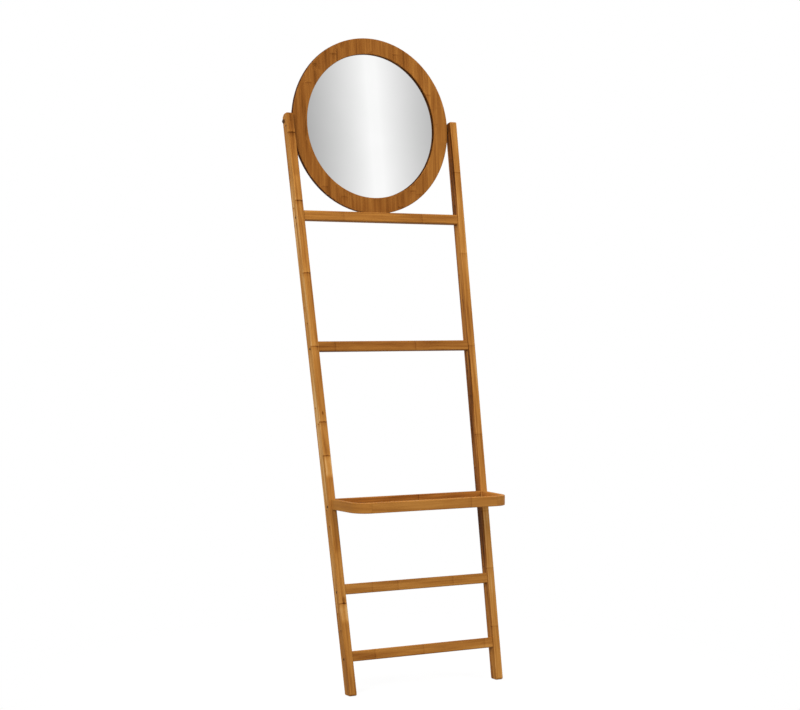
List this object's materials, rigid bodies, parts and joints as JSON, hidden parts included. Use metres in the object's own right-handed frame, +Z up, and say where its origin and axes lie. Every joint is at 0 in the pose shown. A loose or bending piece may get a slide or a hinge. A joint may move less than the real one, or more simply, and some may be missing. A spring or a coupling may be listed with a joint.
{
  "type": "towel stand with mirror",
  "caption": "Leaning bamboo ladder for towels, with cross rungs, a level rimmed tray and a round framed mirror that tilts on side pivots.",
  "frame": {"origin": "on the floor, under the middle of the whole stand in width and depth", "axes": "+Z up, front of the stand towards -Y, the wall that it leans on towards +Y, its width along X"},
  "size_m": [0.5218, 0.3696, 1.6786],
  "materials": {
    "bamboo": "clear satin lacquer over laminated bamboo strips",
    "bamboo_panel": "clear satin lacquer over edge-glued bamboo panel",
    "beech": "plain fluted dowel",
    "dark_steel": "dark plated steel",
    "brass": "turned brass",
    "mirror": "silvered float glass",
    "hardboard": "brown hardboard"
  },
  "bodies": {
    "ladder": {"rail_left": "bamboo", "rail_right": "bamboo", "rung_top": "bamboo", "rung_top_screw_left": "dark_steel", "rung_top_dowel_left": "beech", "rung_top_screw_right": "dark_steel", "rung_top_dowel_right": "beech", "rung_towel": "bamboo", "rung_towel_screw_left": "dark_steel", "rung_towel_dowel_left": "beech", "rung_towel_screw_right": "dark_steel", "rung_towel_dowel_right": "beech", "rung_lower": "bamboo", "rung_lower_screw_left": "dark_steel", "rung_lower_dowel_left": "beech", "rung_lower_screw_right": "dark_steel", "rung_lower_dowel_right": "beech", "rung_bottom": "bamboo", "rung_bottom_screw_left": "dark_steel", "rung_bottom_dowel_left": "beech", "rung_bottom_screw_right": "dark_steel", "rung_bottom_dowel_right": "beech", "tray_front_board": "bamboo", "tray_back_bar": "bamboo", "tray_floor": "bamboo_panel", "tray_side_board_left": "bamboo", "tray_side_dowel_left": "beech", "tray_bar_screw_left": "dark_steel", "tray_side_board_right": "bamboo", "tray_side_dowel_right": "beech", "tray_bar_screw_right": "dark_steel", "pivot_washer_left": "dark_steel", "pivot_washer_right": "dark_steel"},
    "mirror": {"mirror_frame": "bamboo_panel", "mirror_glass": "mirror", "mirror_backing": "hardboard", "pivot_insert_left": "brass", "pivot_bolt_left": "dark_steel", "pivot_insert_right": "brass", "pivot_bolt_right": "dark_steel"}
  },
  "joints": [
    {"name": "mirror_tilt", "type": "hinge", "parent": "ladder", "child": "mirror", "pos_m": [0, 0.15933, 1.4446], "axis": [1, 0, 0], "continuous": true}
  ]
}
